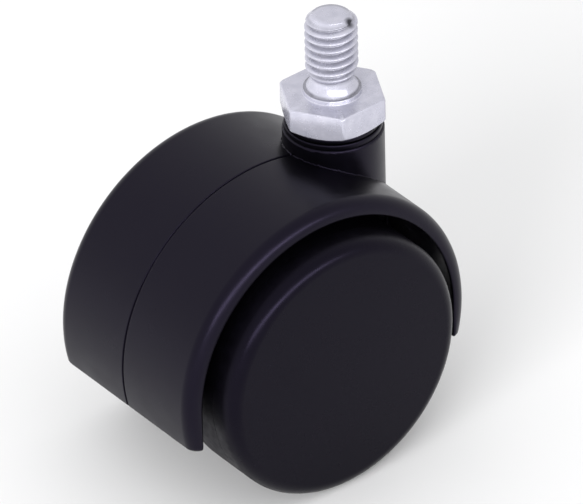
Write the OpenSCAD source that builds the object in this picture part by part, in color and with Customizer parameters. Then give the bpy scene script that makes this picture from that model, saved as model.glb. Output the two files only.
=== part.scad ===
// Hooded twin-wheel chair caster on a threaded swivel stem.
//
// The origin is the centre of the hex's top face, which is the face that meets the chair leg.
// +Z runs up the thread. The axle lies along Y, behind the stem (towards -X) and below it.
// With the stem leading, forward is +X and left is +Y. All lengths are millimetres.

/* [Wheels] */
// Diameter of each wheel
wheel_d = 50; // [48:0.5:51]
// Width over the outer faces of both wheels
overall_w = 47.6; // [47.2:0.2:50]
// Width of one wheel, from its inner edge to its outer face
tread_w = 14; // [13:0.2:14.2]
// Rounding where the outer face meets the tread
face_round = 2.7; // [1.5:0.1:3]
// Thickness of the rim
rim_t = 3; // [2.5:0.1:3.5]
// Width of the outer cap, measured along the axle
cap_w = 5.3; // [4.8:0.1:6]
// Thickness of the cap's face
cap_t = 2.2; // [1.6:0.1:2.4]
// Number of ribs behind the wheel's web
rib_count = 8; // [5:1:10]

/* [Hood] */
// Outside diameter of the hood
hood_d = 61.2; // [60:0.2:64]
// Width of the hood along the axle
hood_w = 38.4; // [34:0.2:40]
// Wall between the wheel well and the outside
hood_wall = 3.1; // [2.6:0.1:3.4]
// Rounding of the hood's two outer edges
hood_round = 2.5; // [1:0.1:2.5]
// How far the hood's ends reach below the axle
hood_drop = 7.6; // [7.2:0.1:12]
// Thickness of the middle wall between the wheels
web_t = 6; // [4:0.5:8]
// Width of the parting groove round the middle of the hood
seam_w = 0.4; // [0.3:0.05:0.6]
// Depth of the parting groove
seam_depth = 0.25; // [0.15:0.05:0.4]

/* [Swivel] */
// Distance from the stem's axis back to the axle
trail = 16.4; // [16:0.1:18]
// Distance from the mounting face down to the axle
axle_depth = 39.4; // [38.5:0.1:42]
// Diameter of the neck that holds the swivel pin
neck_d = 18; // [17.4:0.1:18.4]
// Diameter of the swivel pin
pin_d = 8; // [7.5:0.1:8.5]
// Length of the swivel pin below the hex
pin_len = 29.9; // [29.5:0.1:30.2]
// Outside diameter of the neck bush's sleeve
bush_d = 11.2; // [10.6:0.1:11.6]
// Length of the neck bush's sleeve
bush_len = 20.5; // [16:0.5:21]

/* [Threaded stem] */
// Major diameter of the thread (3/8 inch, as rolled)
thread_d = 9.35; // [9.25:0.01:9.53]
// Pitch of the thread (16 turns to the inch)
pitch = 1.5875; // [1.5:0.0125:1.6]
// Height of the stem's tip above the mounting face
stem_len = 15.6; // [12:0.1:32]
// Size of the hex across its flats
hex_af = 17; // [16.6:0.1:18]
// Thickness of the hex
hex_h = 5.1; // [4:0.1:5.4]
// How far the hex is turned about the stem, in degrees
hex_turn = 3; // [0:1:60]
// Diameter of the collar at the foot of the thread
collar_d = 10.4; // [10:0.1:12]

/* [Axle] */
// Diameter of the axle
axle_d = 6; // [5.6:0.1:6.4]
// Outside diameter of each wheel's hub bush
hub_bush_d = 8; // [7.6:0.1:8.6]
// Diameter of each wheel's hub
hub_d = 13; // [12:0.5:15]

/* [Hidden] */
$fn = 96;

// colours
black_nylon = [0.15, 0.14, 0.18];
cap_nylon = [0.13, 0.12, 0.16];
bush_nylon = [0.08, 0.08, 0.09];
zinc_plate = [0.78, 0.77, 0.82];
plain_steel = [0.62, 0.63, 0.66];

// clearances
play = 0.1;        // between flat faces that turn on each other
running = 0.05;    // radial, between a shaft and its bush
clip_gap = 0.05;   // radial, between a clip and the bottom of its groove
cut = 1;           // how far a cutting shape runs past the face that it cuts

// swivel stack, from the hex down
washer_t = 0.8;
washer_d = 16.8;
flange_t = 1;
flange_d = 17.4;
washer_top = -hex_h;
flange_top = washer_top - washer_t - play;
neck_top = flange_top - flange_t;
bush_end = neck_top - bush_len;
clip_t = 1;
clip_top = bush_end - 0.4;
clip_groove_t = clip_t + 0.1;
clip_groove_r = pin_d / 2 - 0.7;
clip_r = bush_d / 2 - 0.5;
clip_slot = 4.4;
pin_end = -hex_h - pin_len;
pin_chamfer = 1;
disc_t = 1.4;
disc_top = pin_end - play;
socket_floor = disc_top - disc_t;
socket_base_t = 4.4;

// hood
hood_r = hood_d / 2;
well_r = hood_r - hood_wall;
neck_r = neck_d / 2;
axle_boss_r = 7;
axle_boss_w = 18;

// wheels, along the axle from the middle of the caster
wheel_in = overall_w / 2 - tread_w;
wheel_out = overall_w / 2;
cap_in = wheel_out - cap_w;
wheel_r = wheel_d / 2;
rim_in_r = wheel_r - rim_t;
inner_round = 0.8;
web_in = wheel_in + 3.4;
wheel_web_t = 2;
rib_t = 1.6;
hub_in = axle_boss_w / 2 + 1;
hub_out = wheel_out - cap_t - 2.1;
snap_t = 1.4;
snap_w = 2.9;

// axle
axle_end = hub_out + 1.3;
axle_clip_in = hub_out + 0.25;
axle_clip_t = 0.6;
axle_clip_r = 4.8;
axle_groove_r = axle_d / 2 - 0.5;
axle_clip_slot = 3;
spacer_r = 5.5;

// thread, a 60 degree form
flank_angle = 30;
thread_r = thread_d / 2;
thread_depth = 0.6134 * pitch;
root_r = thread_r - thread_depth;
flank_z = thread_depth * tan(flank_angle);
crest_z = pitch / 8;
collar_h = 0.9;
thread_start = 3.5;
tip_r = 3.4;
tip_chamfer = 1.3;
thread_turns = ceil((stem_len - thread_start) / pitch);

// hex
hex_r = hex_af / 2 / cos(30);
hex_top_r = hex_r - 0.35;
hex_clear = 0.5;

module tube(outer_r, inner_r, bottom, top) {
    difference() {
        translate([0, 0, bottom]) cylinder(r = outer_r, h = top - bottom);
        translate([0, 0, bottom - cut]) cylinder(r = inner_r, h = top - bottom + 2 * cut);
    }
}

// A C-shaped clip: a flat ring with a slot of the given width on its +X side.
module open_clip(outer_r, inner_r, bottom, top, slot) {
    difference() {
        tube(outer_r, inner_r, bottom, top);
        translate([0, -slot / 2, bottom - cut])
            cube([outer_r + cut, slot, top - bottom + 2 * cut]);
    }
}

// Puts a shape on the axle, with its +Z pointing out of the left (side = 1) or right (side = -1).
module on_axle(side) {
    translate([-trail, 0, -axle_depth]) rotate([-90 * side, 0, 0]) children();
}

// Half outline of a disc with rounded outer corners, standing between two heights.
module disc_outline(radius, bottom, top, bottom_round, top_round) {
    intersection() {
        translate([0, bottom]) square([radius, top - bottom]);
        union() {
            translate([0, bottom]) square([radius - max(bottom_round, top_round), top - bottom]);
            translate([0, bottom + bottom_round])
                square([radius, top - bottom - bottom_round - top_round]);
            for (corner = [[bottom, bottom_round, 1], [top, top_round, -1]])
                if (corner[1] > 0)
                    translate([radius - corner[1], corner[0] + corner[2] * corner[1]])
                        circle(r = corner[1]);
        }
    }
}

// The rings that stand for the thread, cut off by the chamfered tip.
module thread_rod() {
    rings = [
        for (turn = [0 : thread_turns - 1], point = [0 : 3])
            let (z = thread_start + turn * pitch)
            [
                [root_r, z],
                [thread_r, z + flank_z],
                [thread_r, z + flank_z + crest_z],
                [root_r, z + 2 * flank_z + crest_z]
            ][point]
    ];
    top = thread_start + thread_turns * pitch;
    rotate_extrude()
        intersection() {
            polygon(concat([[0, -cut], [root_r, -cut]], rings, [[root_r, top], [0, top]]));
            polygon([
                [0, -cut], [thread_r + cut, -cut], [thread_r + cut, 0],
                [thread_r, thread_start], [thread_r, stem_len - tip_chamfer],
                [tip_r, stem_len], [0, stem_len]
            ]);
        }
}

module hex_flange() {
    intersection() {
        translate([0, 0, -hex_h]) rotate(hex_turn) cylinder(r = hex_r, h = hex_h, $fn = 6);
        rotate_extrude()
            polygon([
                [0, -hex_h],
                [hex_r - hex_clear, -hex_h],
                [hex_r + hex_clear, -hex_h + 2 * hex_clear * tan(flank_angle)],
                [hex_r + hex_clear, -(hex_r + hex_clear - hex_top_r) * tan(flank_angle)],
                [hex_top_r, 0],
                [0, 0]
            ]);
    }
}

module threaded_stem() {
    color(zinc_plate)
        union() {
            thread_rod();
            cylinder(r = collar_d / 2, h = collar_h);
            translate([0, 0, collar_h])
                cylinder(r1 = collar_d / 2, r2 = root_r, h = thread_start - collar_h);
            hex_flange();
            difference() {
                rotate_extrude()
                    polygon([
                        [0, pin_end], [pin_d / 2 - pin_chamfer, pin_end],
                        [pin_d / 2, pin_end + pin_chamfer], [pin_d / 2, -hex_h + 0.5],
                        [0, -hex_h + 0.5]
                    ]);
                tube(pin_d, clip_groove_r, clip_top - clip_groove_t, clip_top + 0.05);
            }
        }
}

module thrust_washer() {
    color(bush_nylon) tube(washer_d / 2, pin_d / 2 + running, washer_top - washer_t, washer_top);
}

module retaining_clip() {
    color(plain_steel) open_clip(clip_r, clip_groove_r + clip_gap, clip_top - clip_t, clip_top, clip_slot);
}

// Wheel well on one side of the hood: round above the axle and straight-sided below it.
module wheel_well(side) {
    depth = hood_w / 2 - web_t / 2 + cut;
    on_axle(side) translate([0, 0, web_t / 2]) cylinder(r = well_r, h = depth);
    translate([-trail - well_r, side > 0 ? web_t / 2 : -web_t / 2 - depth, -axle_depth - hood_r])
        cube([2 * well_r, depth, hood_r]);
}

module hood_shell() {
    difference() {
        on_axle(1)
            rotate_extrude() disc_outline(hood_r, -hood_w / 2, hood_w / 2, hood_round, hood_round);
        for (side = [-1, 1]) wheel_well(side);
        translate([-trail - 2 * hood_r, -hood_w, -axle_depth - hood_drop - 2 * hood_r])
            cube([4 * hood_r, 2 * hood_w, 2 * hood_r]);
        on_axle(1) tube(hood_r + cut, hood_r - seam_depth, -seam_w / 2, seam_w / 2);
    }
}

module hood() {
    color(black_nylon)
        difference() {
            union() {
                hood_shell();
                translate([0, 0, socket_floor - socket_base_t])
                    cylinder(r = neck_r, h = neck_top - socket_floor + socket_base_t);
                on_axle(1) translate([0, 0, -axle_boss_w / 2])
                    cylinder(r = axle_boss_r, h = axle_boss_w);
            }
            translate([0, 0, socket_floor])
                cylinder(r = bush_d / 2, h = neck_top - socket_floor + cut);
            on_axle(1) translate([0, 0, -axle_boss_w / 2 - cut])
                cylinder(r = axle_d / 2, h = axle_boss_w + 2 * cut);
        }
}

module neck_bush() {
    color(bush_nylon)
        difference() {
            union() {
                translate([0, 0, bush_end]) cylinder(r = bush_d / 2, h = flange_top - bush_end);
                translate([0, 0, neck_top]) cylinder(r = flange_d / 2, h = flange_t);
            }
            translate([0, 0, bush_end - cut])
                cylinder(r = pin_d / 2 + running, h = flange_top - bush_end + 2 * cut);
        }
}

module thrust_disc() {
    color(plain_steel) translate([0, 0, socket_floor]) cylinder(r = bush_d / 2 - 0.2, h = disc_t);
}

module axle() {
    color(plain_steel)
        on_axle(1)
            difference() {
                translate([0, 0, -axle_end]) cylinder(r = axle_d / 2, h = 2 * axle_end);
                for (low = [axle_clip_in, -axle_clip_in - axle_clip_t])
                    tube(axle_d, axle_groove_r, low - 0.05, low + axle_clip_t + 0.05);
            }
}

module spacer(side) {
    color(plain_steel)
        on_axle(side) tube(spacer_r, axle_d / 2, axle_boss_w / 2, hub_in - play);
}

module axle_clips() {
    color(plain_steel)
        for (side = [-1, 1])
            on_axle(side)
                open_clip(
                    axle_clip_r, axle_groove_r + clip_gap,
                    axle_clip_in, axle_clip_in + axle_clip_t, axle_clip_slot
                );
}

// Inner part of a wheel: rim, web, ribs and hub.
module wheel(side) {
    color(black_nylon)
        on_axle(side)
            difference() {
                union() {
                    difference() {
                        rotate_extrude() disc_outline(wheel_r, wheel_in, cap_in, inner_round, 0);
                        translate([0, 0, wheel_in - cut])
                            cylinder(r = rim_in_r, h = cap_in - wheel_in + 2 * cut);
                    }
                    translate([0, 0, web_in]) cylinder(r = rim_in_r + 0.5, h = wheel_web_t);
                    translate([0, 0, hub_in]) cylinder(r = hub_d / 2, h = hub_out - hub_in);
                    for (rib = [0 : rib_count - 1])
                        rotate(rib * 360 / rib_count)
                            translate([hub_d / 2 - 1, -rib_t / 2, hub_in])
                                cube([rim_in_r - hub_d / 2 + 1.5, rib_t, web_in - hub_in + 0.5]);
                }
                translate([0, 0, hub_in - cut])
                    cylinder(r = hub_bush_d / 2, h = hub_out - hub_in + 2 * cut);
            }
}

module hub_bush(side) {
    color(bush_nylon)
        on_axle(side) tube(hub_bush_d / 2, axle_d / 2 + running, hub_in, hub_out);
}

// Outer cap of a wheel: a dished face with a rounded edge and a ring that snaps inside the rim.
module wheel_cap(side) {
    color(cap_nylon)
        on_axle(side)
            union() {
                difference() {
                    rotate_extrude() disc_outline(wheel_r, cap_in, wheel_out, 0, face_round);
                    translate([0, 0, cap_in - cut])
                        cylinder(r = rim_in_r, h = cap_w - cap_t + cut);
                }
                difference() {
                    tube(rim_in_r, rim_in_r - snap_t, cap_in - snap_w, wheel_out - cap_t + 0.5);
                    tube(rim_in_r + cut, rim_in_r - play, cap_in - snap_w - cut, cap_in);
                }
            }
}

module spacer_left() { spacer(1); }
module spacer_right() { spacer(-1); }
module wheel_left() { wheel(1); }
module wheel_right() { wheel(-1); }
module hub_bush_left() { hub_bush(1); }
module hub_bush_right() { hub_bush(-1); }
module wheel_cap_left() { wheel_cap(1); }
module wheel_cap_right() { wheel_cap(-1); }

threaded_stem();
thrust_washer();
retaining_clip();
hood();
neck_bush();
thrust_disc();
axle();
spacer_left();
spacer_right();
axle_clips();
wheel_left();
hub_bush_left();
wheel_cap_left();
wheel_right();
hub_bush_right();
wheel_cap_right();
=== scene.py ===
"""Looks of the hooded twin-wheel chair caster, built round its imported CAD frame.

Lengths are millimetres, except in materials, lights and the camera's distance, which are metres. What
turns about the axle is drawn round the axle's middle, and what turns about the stem is drawn round the
centre of the mounting face.
"""

import math

import bmesh
import bpy
import numpy as np
from mathutils import Matrix, Vector


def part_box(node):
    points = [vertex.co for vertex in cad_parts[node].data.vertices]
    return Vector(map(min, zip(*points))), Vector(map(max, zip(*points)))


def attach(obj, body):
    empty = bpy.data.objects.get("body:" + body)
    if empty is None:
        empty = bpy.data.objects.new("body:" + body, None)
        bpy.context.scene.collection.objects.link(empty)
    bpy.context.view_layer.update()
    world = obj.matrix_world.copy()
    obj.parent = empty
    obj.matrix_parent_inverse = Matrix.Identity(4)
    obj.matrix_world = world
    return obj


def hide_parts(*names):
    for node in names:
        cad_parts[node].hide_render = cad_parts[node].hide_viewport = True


MM = 0.001
TAU = 2 * math.pi

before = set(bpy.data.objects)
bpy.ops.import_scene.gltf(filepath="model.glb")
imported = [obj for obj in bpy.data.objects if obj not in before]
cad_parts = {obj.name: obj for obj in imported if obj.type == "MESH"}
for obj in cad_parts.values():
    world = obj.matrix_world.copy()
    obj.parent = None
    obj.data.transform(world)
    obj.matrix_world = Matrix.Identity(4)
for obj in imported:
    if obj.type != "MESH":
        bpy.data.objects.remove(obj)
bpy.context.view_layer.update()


def box_mm(node):
    """Lowest and highest corner of a CAD node, in millimetres."""
    low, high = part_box(node)
    return Vector(low) / MM, Vector(high) / MM


# ---------------------------------------------------------------- sizes
cap_low, cap_high = box_mm("wheel_cap_left")
hood_low, hood_high = box_mm("hood")
stem_low, stem_high = box_mm("threaded_stem")
flange_low, flange_high = box_mm("neck_bush")
washer_low, washer_high = box_mm("thrust_washer")
disc_low, _ = box_mm("thrust_disc")
shaft_low, shaft_high = box_mm("axle")

AXLE = Vector(((cap_low.x + cap_high.x) / 2, 0, (cap_low.z + cap_high.z) / 2))
STEM = Vector((0, 0, 0))

# wheel caps
WHEEL_R = (cap_high.z - cap_low.z) / 2
WHEEL_OUT = cap_high.y
SNAP_IN = cap_low.y
CAP_IN = WHEEL_OUT - 5.3
CAP_T = 2.2
RIM_IN_R = WHEEL_R - 3
SNAP_T = 1.4
SNAP_PLAY = 0.1
FACE_ROUND = 2.7

# hood: halves are measured from its middle plane, and heights from the axle
HOOD_R = 30.6
HOOD_HALF = hood_high.y
HOOD_END = hood_low.z - AXLE.z
HOOD_ROUND = 2.5
END_ROUND = 0.6
WELL_R = HOOD_R - 3.1
WELL_FILLET = 0.8
WELL_ROUND = 0.45
WEB_HALF = 3.0
NECK_R = 9.0
NECK_TOP = hood_high.z - AXLE.z
NECK_ROUND = 0.35
NECK_FILLET = 0.06
SOCKET_R = 5.6
SOCKET_FLOOR = disc_low.z - AXLE.z
SOCKET_END = SOCKET_FLOOR - 4.4
BOSS_R = 7.0
BOSS_HALF = 9.0
BOSS_ROUND = 0.4
BOSS_FILLET = 0.8
SHAFT_R = (shaft_high.z - shaft_low.z) / 2
SEAM_HALF = 0.2
SEAM_DEPTH = 0.25
SEAM_ROUND = 0.16

# threaded stem: 3/8-16 UNC, which fades in over the run-out, and where its crest stands at an angle
THREAD_R = 9.35 / 2
PITCH = 1.5875
THREAD_DEPTH = 0.6134 * PITCH
ROOT_R = THREAD_R - THREAD_DEPTH
THREAD_START = 3.5
FADE_START = THREAD_START - 0.5
RUN_OUT = 2.4
THREAD_FACING = math.radians(-127)
CREST_PHASE = 0.42
CREST_ROUND = 0.1
FLANK_SPREAD = 0.06
TIP_R = 3.4
TIP_CHAMFER = 1.3
TIP_ROUND = 0.15
NICK = Vector((1.5, -3.6, 15.1))

# collar on the hex, and the foot that slopes from its groove to the thread; 1 would be a straight cone
COLLAR_R = 5.2
COLLAR_H = 0.9
GROOVE_R = COLLAR_R - 0.55
FOOT_START = COLLAR_H + 0.25
FOOT_HOLLOW = 1.8

# hex
HEX_AF = 17.0
HEX_R = HEX_AF / 2 / math.cos(math.radians(30))
HEX_H = -washer_high.z
HEX_TURN = math.radians(3)
HEX_WEAR = 0.1
HEX_TOP_R = HEX_R - 0.35
HEX_LOW_R = HEX_R - 1.4

# swivel pin
PIN_R = 4.0
PIN_PLAY = 0.05
PIN_CHAMFER = 1.0
PIN_END = stem_low.z
CLIP_LOW, CLIP_HIGH = (edge.z for edge in box_mm("retaining_clip"))
CLIP_GROOVE_R = 3.3


# ---------------------------------------------------------------- mesh helpers
def add_object(name, data):
    """A new object in the scene."""
    made = bpy.data.objects.new(name, data)
    bpy.context.scene.collection.objects.link(made)
    return made


def mesh_object(name, points, faces, centre, normals=None):
    """A smooth-shaded object from points in millimetres about a centre."""
    mesh = bpy.data.meshes.new(name)
    mesh.from_pydata(((points + np.array(centre)) * MM).tolist(), [], faces)
    work = bmesh.new()
    work.from_mesh(mesh)
    if work.calc_volume(signed=True) < 0:
        bmesh.ops.reverse_faces(work, faces=work.faces)
    work.to_mesh(mesh)
    work.free()
    mesh.shade_smooth()
    if normals is not None:
        mesh.normals_split_custom_set_from_vertices(normals.tolist())
    return add_object(name, mesh)


def rounded(corners, steps=6):
    """The closed outline through (radius, height, rounding) corners, with each rounding as an arc."""
    outline = []
    for i, (r, z, rounding) in enumerate(corners):
        here = Vector((r, z))
        if not rounding:
            outline.append(here)
            continue
        before = (Vector(corners[i - 1][:2]) - here).normalized()
        after = (Vector(corners[(i + 1) % len(corners)][:2]) - here).normalized()
        half = before.angle(after) / 2
        middle = here + (before + after).normalized() * rounding / math.sin(half)
        start = here + before * rounding / math.tan(half) - middle
        end = here + after * rounding / math.tan(half) - middle
        first = math.atan2(start.y, start.x)
        sweep = (math.atan2(end.y, end.x) - first + math.pi) % TAU - math.pi
        for step in range(steps + 1):
            a = first + sweep * step / steps
            outline.append(middle + Vector((math.cos(a), math.sin(a))) * rounding)
    return [tuple(point) for point in outline]


def lathe(name, outline, segments, centre, side=0):
    """A closed outline of (radius, height) turned about an axis: Z, or the axle when side is 1 or -1."""
    count = len(outline)
    angle = np.repeat(np.arange(segments) * TAU / segments, count)
    radius = np.tile([point[0] for point in outline], segments)
    height = np.tile([point[1] for point in outline], segments)
    across, along = radius * np.cos(angle), radius * np.sin(angle)
    points = np.stack([across, side * height, along] if side else [across, along, height], 1)
    faces = [
        (a * count + i, b * count + i, b * count + j, a * count + j)
        for a, b in ((s, (s + 1) % segments) for s in range(segments))
        for i, j in ((k, (k + 1) % count) for k in range(count))
    ]
    made = mesh_object(name, points, faces, centre)
    close_poles(made)
    return made


def close_poles(made):
    """Joins the points that lie together on an axis and drops the faces this leaves empty."""
    work = bmesh.new()
    work.from_mesh(made.data)
    bmesh.ops.remove_doubles(work, verts=work.verts, dist=1e-7)
    bmesh.ops.dissolve_degenerate(work, edges=work.edges, dist=1e-7)
    work.to_mesh(made.data)
    work.free()


def rings(name, stack, segments, centre, turn):
    """Closed mesh through (radius, height) rings from the bottom up; either may vary round a ring."""
    angle = turn + np.arange(segments) * TAU / segments
    points = np.concatenate([
        np.stack([radius * np.cos(angle), radius * np.sin(angle), height * np.ones(segments)], 1)
        for radius, height in stack
    ])
    faces = [
        (r * segments + a, r * segments + b, (r + 1) * segments + b, (r + 1) * segments + a)
        for r in range(len(stack) - 1)
        for a, b in ((s, (s + 1) % segments) for s in range(segments))
    ]
    made = mesh_object(name, points, faces, centre)
    close_poles(made)
    return made


# ---------------------------------------------------------------- hood, as a field
def both(a, b, rounding):
    """The field inside both shapes, with its outer corner rounded."""
    corner = np.hypot(np.maximum(rounding + a, 0), np.maximum(rounding + b, 0))
    return np.minimum(-rounding, np.maximum(a, b)) + corner


def either(a, b, fillet):
    """The field inside one shape or the other, with the inner corner between them filled."""
    return -both(-a, -b, fillet)


def hood_field(p):
    """Distance to the hood's surface, negative inside, at points about the axle."""
    x, y, z = p[..., 0], p[..., 1], p[..., 2]
    out = np.hypot(x, z)
    drum = both(out - HOOD_R, np.abs(y) - HOOD_HALF, HOOD_ROUND)
    drum = both(drum, HOOD_END - z, END_ROUND)
    seam = np.maximum(np.abs(y) - SEAM_HALF, HOOD_R - SEAM_DEPTH - out)
    drum = both(drum, -seam, SEAM_ROUND)
    well = both(np.where(z > 0, out, np.abs(x)) - WELL_R, WEB_HALF - np.abs(y), WELL_FILLET)
    drum = both(drum, -well, WELL_ROUND)
    axle_boss = both(out - BOSS_R, np.abs(y) - BOSS_HALF, BOSS_ROUND)
    from_stem = np.hypot(x - STEM.x + AXLE.x, y)
    neck = both(from_stem - NECK_R, np.maximum(z - NECK_TOP, SOCKET_END - z), NECK_ROUND)
    solid = either(either(drum, axle_boss, BOSS_FILLET), neck, NECK_FILLET)
    socket = np.maximum(from_stem - SOCKET_R, SOCKET_FLOOR - z)
    return np.maximum(solid, np.maximum(-socket, SHAFT_R - out))


def slope(field, p, step=1e-3):
    """Gradient of a field at points."""
    return np.stack([(field(p + d) - field(p - d)) / (2 * step) for d in np.eye(3) * step], -1)


def grid_lines(marks):
    """Grid lines from (start, spacing) marks: each spacing holds up to the next mark's start."""
    lines = [
        np.arange(start, marks[i + 1][0] - spacing / 2, spacing)
        for i, (start, spacing) in enumerate(marks[:-1])
    ]
    return np.concatenate(lines + [[marks[-1][0]]])


def skin(name, field, radii, turns, widths, centre):
    """Closed mesh of a field's surface: one point per grid cell that it crosses, settled onto it."""
    angle = np.arange(turns) * TAU / turns
    r, a, y = np.meshgrid(radii, angle, widths, indexing="ij")
    inside = field(np.stack([r * np.cos(a), y, r * np.sin(a)], -1)) < 0
    wrapped = np.concatenate([inside, inside[:, :1]], 1)
    cells = sum(
        wrapped[i:len(radii) - 1 + i, j:turns + j, k:len(widths) - 1 + k].astype(np.int8)
        for i in (0, 1) for j in (0, 1) for k in (0, 1)
    )
    i, j, k = np.nonzero((cells > 0) & (cells < 8))
    number = np.full(cells.shape, -1)
    number[i, j, k] = np.arange(len(i))
    middle_r = (radii[i] + radii[i + 1]) / 2
    middle_a = (j + 0.5) * TAU / turns
    points = np.stack(
        [middle_r * np.cos(middle_a), (widths[k] + widths[k + 1]) / 2, middle_r * np.sin(middle_a)], -1
    )
    longest_step, flattest = 0.25, 0.05
    for _ in range(12):
        value, grade = field(points), slope(field, points)
        move = value[:, None] * grade / np.maximum((grade ** 2).sum(1), flattest)[:, None]
        length = np.linalg.norm(move, axis=1, keepdims=True)
        points -= move * np.minimum(1, longest_step / np.maximum(length, 1e-9))
    faces = []
    for axis, (u, v) in ((0, (1, 2)), (1, (0, 2)), (2, (0, 1))):
        flips = inside != np.roll(inside, -1, axis)
        keep = [slice(None)] * 3
        if axis != 1:
            keep[axis] = slice(0, -1)
        at = np.stack(np.nonzero(flips[tuple(keep)]), 1)
        low_u, low_v = np.eye(3, dtype=int)[u], np.eye(3, dtype=int)[v]
        quad = [at - low_u - low_v, at - low_v, at, at - low_u]
        for corner in quad:
            corner[:, 1] %= turns
        quad = np.stack([number[tuple(corner.T)] for corner in quad], 1)
        outward = inside[tuple(at.T)] ^ (axis == 1)
        quad[outward] = quad[outward][:, ::-1]
        faces.append(quad)
    faces = np.concatenate(faces)
    normals = slope(field, points)
    normals /= np.linalg.norm(normals, axis=1, keepdims=True)
    return mesh_object(name, points, faces.tolist(), centre, normals)


def hood():
    """The whole hood. Its grid is finest at the skin, and off centre so that no line lies on a face."""
    turns, off_centre = 420, 0.01
    radii = grid_lines([(2.5, 0.55), (26.9, 0.2), (30.1, 0.12), (31.1, 0.4), (43.9, 0)])
    side = grid_lines([(0.0, 0.1), (0.5, 0.4), (16.5, 0.22), (HOOD_HALF + 0.3, 0)])
    widths = np.concatenate([-side[:0:-1], side]) + off_centre
    made = skin("hood_shell", hood_field, radii, turns, widths, AXLE)
    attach(made, "swivel")
    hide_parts("hood")
    return made


# ---------------------------------------------------------------- turned pieces
def wheel_cap(side, name):
    """Outer cap: a disc with a rounded edge, and the ring that snaps into the inner wheel's rim."""
    ring_out = RIM_IN_R - SNAP_PLAY
    ring_in = RIM_IN_R - SNAP_T
    outline = rounded([
        (0, WHEEL_OUT, 0),
        (WHEEL_R, WHEEL_OUT, FACE_ROUND),
        (WHEEL_R, CAP_IN, 0.12),
        (ring_out, CAP_IN, 0),
        (ring_out, SNAP_IN, 0.2),
        (ring_in, SNAP_IN, 0.2),
        (ring_in, WHEEL_OUT - CAP_T, 0.5),
        (0, WHEEL_OUT - CAP_T, 0),
    ], steps=10)
    made = lathe(f"{name}_cap", outline, 256, AXLE, side)
    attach(made, name)
    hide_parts(f"wheel_cap_{name.split('_')[0]}")
    return made


def thread_radius(angle, height):
    """Radius of the right-hand 60 degree thread, rolled to round crests, fading out above the collar."""
    flank = THREAD_DEPTH * math.tan(math.radians(30))
    phase = ((height - THREAD_START) / PITCH - (angle - THREAD_FACING) / TAU) % 1.0
    from_crest = np.abs(phase - CREST_PHASE) * PITCH
    from_crest = np.minimum(from_crest, PITCH - from_crest)
    fall = (np.hypot(from_crest, CREST_ROUND) - CREST_ROUND) / (flank + FLANK_SPREAD)
    rise = 1 - np.clip(fall, 0, 1)
    rise = rise ** 2 * (3 - 2 * rise)
    fade = np.clip((height - FADE_START) / RUN_OUT, 0.0, 1.0)
    return ROOT_R + THREAD_DEPTH * rise * fade


def hex_edge(angle):
    """Distance from the stem's axis to the hex's side, with its corners worn slightly round."""
    sixth = math.radians(60)
    from_flat = (angle - HEX_TURN) % sixth - sixth / 2
    return np.minimum(HEX_AF / 2 / np.cos(from_flat), HEX_R - HEX_WEAR)


def pin_rings(edge):
    """Rings of the swivel pin from its end up, with the groove that the retaining clip sits in."""
    return [
        (0, PIN_END),
        (PIN_R - PIN_CHAMFER - edge, PIN_END), (PIN_R - PIN_CHAMFER, PIN_END + edge / 2),
        (PIN_R - edge / 2, PIN_END + PIN_CHAMFER - edge / 2), (PIN_R, PIN_END + PIN_CHAMFER + edge / 2),
        (PIN_R, CLIP_LOW - edge), (PIN_R - edge, CLIP_LOW - edge / 2),
        (CLIP_GROOVE_R, CLIP_LOW - edge / 2), (CLIP_GROOVE_R, CLIP_HIGH + edge / 2),
        (PIN_R - edge, CLIP_HIGH + edge / 2), (PIN_R, CLIP_HIGH + edge),
        (PIN_R, -HEX_H),
    ]


def hex_rings(angle, edge):
    """Rings of the hex from its underside up, with both faces' corners cut at 30 degrees."""
    side = hex_edge(angle)
    slant = math.tan(math.radians(30))
    top_cut = -np.maximum(side - HEX_TOP_R, 0) * slant
    low_cut = np.maximum(side - HEX_LOW_R, 0) * slant
    return [
        (HEX_LOW_R * 0.7, -HEX_H), (HEX_LOW_R * 0.95, -HEX_H),
        (np.minimum(side - edge * 2, HEX_LOW_R), -HEX_H), (side - edge, -HEX_H + low_cut * 0.9),
        (side - edge / 3, -HEX_H + low_cut + edge / 2), (side, -HEX_H + low_cut + edge * 1.5),
        (side, -HEX_H / 2),
        (side, top_cut - edge * 2), (side - edge / 3, top_cut - edge),
        (side - edge, top_cut - edge / 3), (side - edge * 2, top_cut * 0.8),
        (np.minimum(side - edge * 3, HEX_TOP_R - edge), 0),
    ]


def collar_rings(edge):
    """Rings of the collar on the hex, in to the groove at the foot of the thread."""
    return [
        (COLLAR_R + 1, 0), (COLLAR_R + edge * 2, 0),
        (COLLAR_R + edge / 3, edge / 3), (COLLAR_R, edge * 2), (COLLAR_R, COLLAR_H - edge * 2),
        (COLLAR_R - edge / 3, COLLAR_H - edge / 2), (COLLAR_R - edge * 1.5, COLLAR_H),
        (GROOVE_R + edge, COLLAR_H - 0.02), (GROOVE_R, COLLAR_H + edge),
    ]


def shank_rings(angle, top):
    """Rings of the sloped foot, the thread and the chamfered tip."""
    stack = []
    for height in np.arange(FOOT_START, top - TIP_ROUND, PITCH / 24):
        climb = min((height - FOOT_START) / (THREAD_START - FOOT_START), 1)
        foot = ROOT_R + (GROOVE_R - ROOT_R) * (1 - climb) ** FOOT_HOLLOW
        radius = np.maximum(thread_radius(angle, height), foot)
        if height > top - TIP_CHAMFER:
            tip = THREAD_R - (height - top + TIP_CHAMFER) * (THREAD_R - TIP_R) / TIP_CHAMFER
            radius = np.minimum(radius, tip)
        stack.append((radius, height))
    stack += [
        (TIP_R - TIP_ROUND * math.sin(a) * 0.5, top - TIP_ROUND + TIP_ROUND * math.sin(a))
        for a in np.radians((30, 60, 90))
    ]
    return stack + [(TIP_R * 0.7, top), (0, top)]


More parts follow.
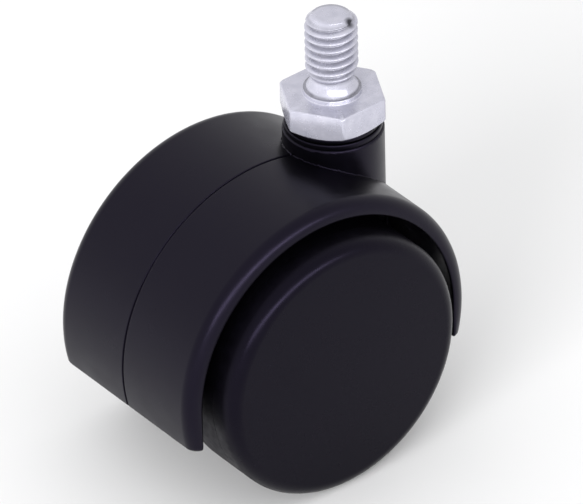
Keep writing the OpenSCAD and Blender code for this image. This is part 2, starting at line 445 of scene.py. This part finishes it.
def stem():
    """The whole turned piece: pin, hex, collar and threaded shank."""
    segments = 360
    edge = 0.12
    angle = HEX_TURN + np.arange(segments) * TAU / segments
    stack = pin_rings(edge) + hex_rings(angle, edge) + collar_rings(edge) + shank_rings(angle, stem_high.z)
    made = rings("stud", stack, segments, STEM, HEX_TURN)
    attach(made, "stem")
    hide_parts("threaded_stem")
    return made


def washer():
    """The thin washer that the hex bears on."""
    bore = PIN_R + PIN_PLAY
    outline = rounded([
        (bore, washer_low.z, 0), (washer_high.x, washer_low.z, 0.2),
        (washer_high.x, washer_high.z, 0.2), (bore, washer_high.z, 0),
    ])
    made = lathe("swivel_washer", outline, 160, STEM)
    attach(made, "stem")
    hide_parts("thrust_washer")
    return made


def bush():
    """The pin's bearing, with its flange on top of the neck."""
    bore = PIN_R + PIN_PLAY
    flange_under = hood_high.z
    outline = rounded([
        (bore, flange_low.z, 0), (SOCKET_R, flange_low.z, 0.3), (SOCKET_R, flange_under, 0),
        (flange_high.x, flange_under, 0.15), (flange_high.x, flange_high.z, 0.25),
        (bore, flange_high.z, 0.3),
    ])
    made = lathe("swivel_bush", outline, 160, STEM)
    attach(made, "swivel")
    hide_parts("neck_bush")
    return made


# ---------------------------------------------------------------- materials
class Nodes:
    """A short way to add and join the nodes of one material.

    A material function leaves on it the sockets that wear, painted shade and a nick build on: gloss for
    moulded nylon, and reach from the stem's axis, height and cloud (the plating's colour) for turned steel.
    """

    def __init__(self, name):
        self.material = bpy.data.materials.new(name)
        self.material.use_nodes = True
        self.tree = self.material.node_tree
        self.shader = self.tree.nodes["Principled BSDF"]
        self.place = self.tree.nodes.new("ShaderNodeTexCoord").outputs["Object"]

    def add(self, kind, **sockets):
        """A new node, with its named input sockets linked or set."""
        node = self.tree.nodes.new("ShaderNode" + kind)
        for socket, value in sockets.items():
            self.put(node.inputs[socket], value)
        return node

    def put(self, socket, value):
        """Links one socket to another, or sets it to a plain value."""
        if isinstance(value, bpy.types.NodeSocket):
            self.tree.links.new(value, socket)
        else:
            socket.default_value = value

    def look(self, name, value):
        """Links or sets one input of the shader."""
        self.put(self.shader.inputs[name], value)

    def noise(self, scale, detail=3.0, vector=None):
        node = self.add("TexNoise", Scale=scale, Detail=detail)
        self.put(node.inputs["Vector"], vector or self.place)
        return node.outputs["Fac"]

    def spread(self, value, low, high, start=0.3, stop=0.7):
        """Maps a value from start..stop to low..high; noise lies mostly within 0.3..0.7."""
        node = self.add("MapRange")
        for place, number in ((1, start), (2, stop), (3, low), (4, high)):
            node.inputs[place].default_value = number
        self.put(node.inputs[0], value)
        return node.outputs[0]

    def over(self, length, low, high, start, stop):
        """Maps a length from start..stop in millimetres to low..high."""
        return self.spread(length, low, high, start * MM, stop * MM)

    def blend(self, share, low, high):
        """A colour from low, a socket or a plain colour, towards the plain colour high."""
        node = self.tree.nodes.new("ShaderNodeMix")
        node.data_type = "RGBA"
        self.put(node.inputs[0], share)
        self.put(node.inputs[6], low if isinstance(low, bpy.types.NodeSocket) else (*low, 1))
        self.put(node.inputs[7], (*high, 1))
        return node.outputs[2]

    def reckon(self, operation, a, b):
        node = self.add("Math")
        node.operation = operation
        self.put(node.inputs[0], a)
        self.put(node.inputs[1], b)
        return node.outputs[0]

    def times(self, a, b):
        return self.reckon("MULTIPLY", a, b)

    def distance(self, place, point):
        """Distance in metres from a point to the place being shaded."""
        node = self.tree.nodes.new("ShaderNodeVectorMath")
        node.operation = "DISTANCE"
        self.put(node.inputs[0], place)
        self.put(node.inputs[1], point)
        return node.outputs["Value"]

    def bump(self, height, distance, strength=1.0, normal=None):
        node = self.add("Bump", Strength=strength, Distance=distance, Height=height)
        if normal is not None:
            self.put(node.inputs["Normal"], normal)
        return node.outputs["Normal"]


def moulded(name, dark, light, rough, grain, specular, tint):
    """Moulded nylon: a fine grain, a slow drift of gloss and colour, and faint rubbed patches."""
    n = Nodes(name)
    drift = n.noise(90)
    rubbed = n.noise(240, 4)
    waves = n.noise(160, 2)
    speckle = n.noise(2600, 2)
    n.look("Base Color", n.blend(n.spread(drift, 0, 1), dark, light))
    n.gloss = n.spread(rubbed, rough - 0.04, rough + 0.05)
    n.look("Roughness", n.gloss)
    n.look("Normal", n.bump(waves, grain * 2.5, 0.6, n.bump(speckle, grain)))
    n.look("Specular IOR Level", specular)
    n.look("Specular Tint", (*tint, 1))
    return n


def scuff(n):
    """The tread, dulled by rolling: rougher where the surface is furthest from the axle."""
    split = n.add("SeparateXYZ", Vector=n.place)
    across = n.add("CombineXYZ", X=split.outputs["X"], Z=split.outputs["Z"])
    tread = n.over(n.distance(across.outputs[0], AXLE * MM), 0, 0.22, WHEEL_R - 0.5, WHEEL_R - 0.1)
    worn = n.times(tread, n.spread(n.noise(700, 4), 0.6, 1.2))
    n.look("Roughness", n.reckon("ADD", n.gloss, worn))


def turned(name, dark, light, rough, metal, marks):
    """Turned and plated steel: fine rings from the lathe and a slightly cloudy plating."""
    n = Nodes(name)
    split = n.add("SeparateXYZ", Vector=n.place)
    n.height = split.outputs["Z"]
    across = n.add("CombineXYZ", X=split.outputs["X"], Y=split.outputs["Y"])
    n.reach = n.distance(across.outputs[0], (0, 0, 0))
    ringed = n.add("CombineXYZ", X=n.reach, Z=n.height)
    lines = n.noise(5200, 1, ringed.outputs[0])
    waves = n.noise(500, 2)
    n.cloud = n.blend(n.spread(n.noise(420, 5), 0, 1), dark, light)
    n.look("Base Color", n.cloud)
    n.look("Roughness", n.spread(n.noise(700, 3), rough - 0.05, rough + 0.07))
    n.look("Metallic", metal)
    n.look("Normal", n.bump(waves, marks * 2, 0.3, n.bump(lines, marks)))
    return n


def paint_shade_and_nick(n):
    """Painted shade that darkens the thread's roots and the groove at its foot, and a dark nick on the tip's
    edge.
    """
    top = stem_high.z
    above_foot = n.over(n.height, 0, 1, FADE_START, FADE_START + 0.6)
    below_tip = n.over(n.height, 1, 0, top - 0.6, top - 0.2)
    # painted shade: darker towards the root radius of the thread
    deep = n.over(n.reach, 0.55, 0, ROOT_R, ROOT_R + 0.7)
    roots = n.times(n.times(above_foot, deep), below_tip)
    # painted shade in the groove between the collar and the sloped foot
    above_collar = n.over(n.height, 0, 0.7, COLLAR_H - 0.1, COLLAR_H)
    groove = n.times(above_collar, n.over(n.height, 1, 0, COLLAR_H + 0.2, COLLAR_H + 0.5))
    blotch = n.spread(n.noise(600, 3), 0.6, 1.0)
    nick = n.over(n.distance(n.place, NICK * MM), 1, 0, 0.5, 1.3)
    painted_shade_and_nick = n.reckon("MAXIMUM", n.times(n.reckon("MAXIMUM", roots, groove), blotch), nick)
    # painted shade in the thread's roots and the collar groove, going towards near black; the nick is a real
    # mark
    n.look("Base Color", n.blend(painted_shade_and_nick, n.cloud, (0.03, 0.03, 0.04)))


def paint(made, material):
    made.data.materials.clear()
    made.data.materials.append(material)


# ---------------------------------------------------------------- the object
# Tint of the reflections on the black plastics
NIGHT = (0.66, 0.56, 1.0)

hood_black = moulded(
    "hood_nylon", dark=(0.0006, 0.0006, 0.0009), light=(0.0010, 0.0009, 0.0013),
    rough=0.31, grain=5e-6, specular=0.23, tint=NIGHT,
)
wheel_black = moulded(
    "wheel_nylon", dark=(0.0005, 0.0005, 0.0008), light=(0.0008, 0.0007, 0.0011),
    rough=0.28, grain=3e-6, specular=0.16, tint=NIGHT,
)
scuff(wheel_black)
bush_black = moulded(
    "bush_acetal", dark=(0.0005, 0.0005, 0.0006), light=(0.0008, 0.0008, 0.0010),
    rough=0.32, grain=2e-6, specular=0.22, tint=NIGHT,
)
zinc = turned(
    "zinc_plate", dark=(0.45, 0.45, 0.53), light=(0.55, 0.545, 0.63), rough=0.24, metal=0.5, marks=1.2e-6,
)
# painted shade in the stem's thread roots and collar groove, and a dark nick on the tip
paint_shade_and_nick(zinc)
steel = turned(
    "plain_steel", dark=(0.36, 0.37, 0.39), light=(0.46, 0.47, 0.50), rough=0.36, metal=0.9, marks=3e-6,
)

paint(hood(), hood_black.material)
for side, name in ((1, "left_wheel"), (-1, "right_wheel")):
    paint(wheel_cap(side, name), wheel_black.material)
paint(stem(), zinc.material)
paint(washer(), bush_black.material)
paint(bush(), bush_black.material)

KEPT = {
    wheel_black.material: ("wheel_left", "wheel_right"),
    bush_black.material: ("hub_bush_left", "hub_bush_right"),
    steel.material: (
        "retaining_clip", "thrust_disc", "axle", "spacer_left", "spacer_right", "axle_clips",
    ),
}
for material, names in KEPT.items():
    for name in names:
        paint(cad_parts[name], material)


# ---------------------------------------------------------------- stage
def direction(azimuth, elevation):
    """Unit vector from the object towards these angles in radians; azimuth 0 is the -Y side."""
    return Vector((
        math.sin(azimuth) * math.cos(elevation),
        -math.cos(azimuth) * math.cos(elevation),
        math.sin(elevation),
    ))


def floor():
    reach = 3.0
    level = (AXLE.z - WHEEL_R) * MM
    corners = [(x * reach, y * reach, level) for x, y in ((-1, -1), (1, -1), (1, 1), (-1, 1))]
    mesh = bpy.data.meshes.new("floor")
    mesh.from_pydata(corners, [], [(0, 1, 2, 3)])
    made = add_object("floor", mesh)
    n = Nodes("floor_white")
    n.look("Base Color", (0.85, 0.85, 0.855, 1))
    n.look("Roughness", n.spread(n.noise(6), 0.85, 0.95))
    paint(made, n.material)


def lamp(name, azimuth, elevation, distance, width, height, radiance, glossy=True, diffuse=True):
    """A soft box that looks at the object from a direction, in degrees and metres."""
    light = bpy.data.lights.new(name, "AREA")
    light.shape = "RECTANGLE"
    light.size, light.size_y = width, height
    light.energy = radiance * math.pi * width * height
    made = add_object(name, light)
    back = direction(math.radians(azimuth), math.radians(elevation))
    made.location = AXLE * MM + back * distance
    made.rotation_euler = (-back).to_track_quat("-Z", "Y").to_euler()
    made.visible_glossy = glossy
    made.visible_diffuse = diffuse


def sky(strength):
    world = bpy.data.worlds.new("studio")
    world.use_nodes = True
    backdrop = world.node_tree.nodes["Background"]
    backdrop.inputs["Color"].default_value = (1, 1, 1, 1)
    backdrop.inputs["Strength"].default_value = strength
    bpy.context.scene.world = world


def camera(azimuth, elevation, roll, distance, lens, target):
    """A long lens from the front left, a little above, in degrees and metres."""
    back = direction(math.radians(azimuth), math.radians(elevation))
    level = (-back).cross(Vector((0, 0, 1))).normalized()
    upright = level.cross(-back)
    turn = math.radians(roll)
    right = math.cos(turn) * level + math.sin(turn) * upright
    up = math.cos(turn) * upright - math.sin(turn) * level
    data = bpy.data.cameras.new("camera")
    data.lens = lens
    data.sensor_width = 36.0
    data.clip_start, data.clip_end = 0.1, 50.0
    made = add_object("camera", data)
    facing = Matrix((right, up, back)).transposed().to_4x4()
    made.matrix_world = Matrix.Translation(target * MM + back * distance) @ facing
    bpy.context.scene.camera = made


floor()
sky(strength=1.0)
lamp("strip", azimuth=-12, elevation=24, distance=3.0, width=4.6, height=0.63, radiance=8.0, diffuse=False)
lamp("fill", azimuth=-64, elevation=15, distance=3.0, width=1.6, height=1.6, radiance=12.5, glossy=False)
camera(
    azimuth=-36.643, elevation=33.796, roll=-1.479, distance=1.8876, lens=664.7,
    target=AXLE + Vector((7.65, 1.37, 8.46)),
)
bpy.context.scene.view_settings.view_transform = "Standard"
